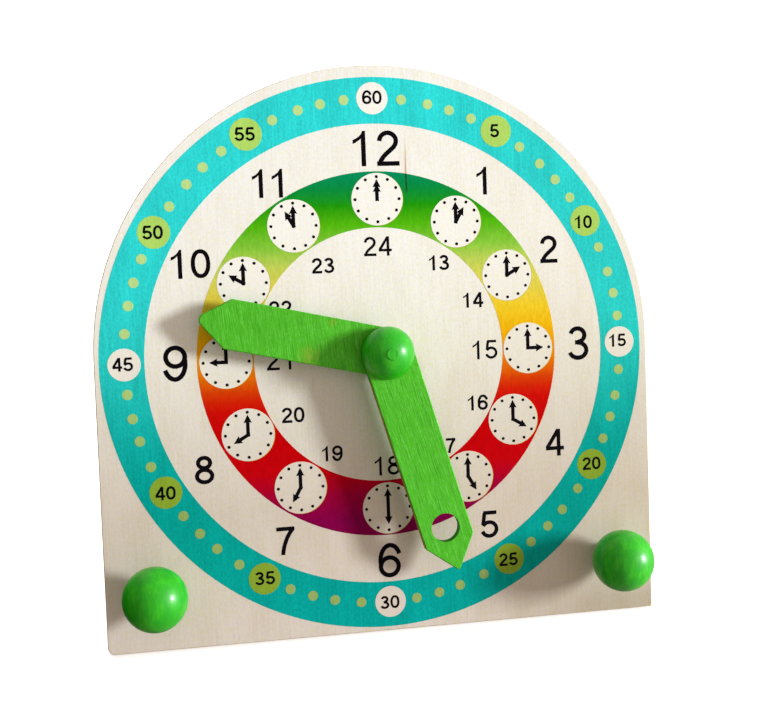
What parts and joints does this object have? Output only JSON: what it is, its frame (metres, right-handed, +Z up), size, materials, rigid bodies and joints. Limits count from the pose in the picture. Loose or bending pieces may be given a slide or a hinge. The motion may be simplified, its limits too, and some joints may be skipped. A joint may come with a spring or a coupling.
{
  "type": "geared teaching clock",
  "caption": "Arched plywood dial board with two coupled wooden hands, an open wooden gear train behind and ball-headed peg legs.",
  "frame": {"origin": "centre of the bounding box's footprint on the table plane, under the leaned-back clock", "axes": "+Z up from the table, +Y to the rear, +X to the reader's right; the board leans back 18 degrees about X"},
  "size_m": [0.223, 0.0952, 0.2153],
  "materials": {
    "dial_plywood": "pale sealed plywood, printed dial",
    "green_gloss": "green lacquer, glossy",
    "green_stain": "green stain over open grain, satin",
    "gear_plywood": "bare laser-cut plywood with dark edges",
    "beech": "bare turned beech, satin",
    "fibre": "dark red vulcanised fibre, matt",
    "zinc_steel": "zinc plated"
  },
  "bodies": {
    "stand": {"dial_board": "dial_plywood", "centre_bush": "beech", "foot_ball_left": "green_gloss", "foot_ball_right": "green_gloss", "foot_peg_left": "green_stain", "foot_peg_right": "green_stain", "rear_bridge": "gear_plywood", "bridge_block_upper": "beech", "bridge_block_lower": "beech", "bridge_screws": "zinc_steel", "idler_stud": "beech"},
    "minute_arbor": {"minute_shaft": "green_stain", "minute_hand": "green_stain", "centre_knob": "green_gloss", "minute_pinion": "beech", "minute_pinion_washer": "fibre", "shaft_cap": "beech"},
    "hour_arbor": {"hour_sleeve": "beech", "hour_hand": "green_stain", "hand_washer": "fibre", "hour_wheel": "gear_plywood", "hour_wheel_washer": "fibre"},
    "idler_arbor": {"idler_wheel": "gear_plywood", "idler_pinion": "beech", "idler_front_washer": "fibre", "idler_rear_spacer": "beech"}
  },
  "joints": [
    {"name": "minute_turn", "type": "hinge", "parent": "stand", "child": "minute_arbor", "pos_m": [0, 0.00771, 0.10837], "axis": [0, 0.9511, -0.309], "continuous": true},
    {"name": "idler_turn", "type": "hinge", "parent": "stand", "child": "idler_arbor", "pos_m": [0, -0.00713, 0.06272], "axis": [0, 0.9511, -0.309], "continuous": true},
    {"name": "hour_turn", "type": "hinge", "parent": "stand", "child": "hour_arbor", "pos_m": [0, 0.00771, 0.10837], "axis": [0, 0.9511, -0.309], "continuous": true}
  ],
  "couplings": [
    {"joint": "idler_turn", "follows": "minute_turn", "ratio": -0.33333},
    {"joint": "hour_turn", "follows": "minute_turn", "ratio": 0.083333}
  ]
}
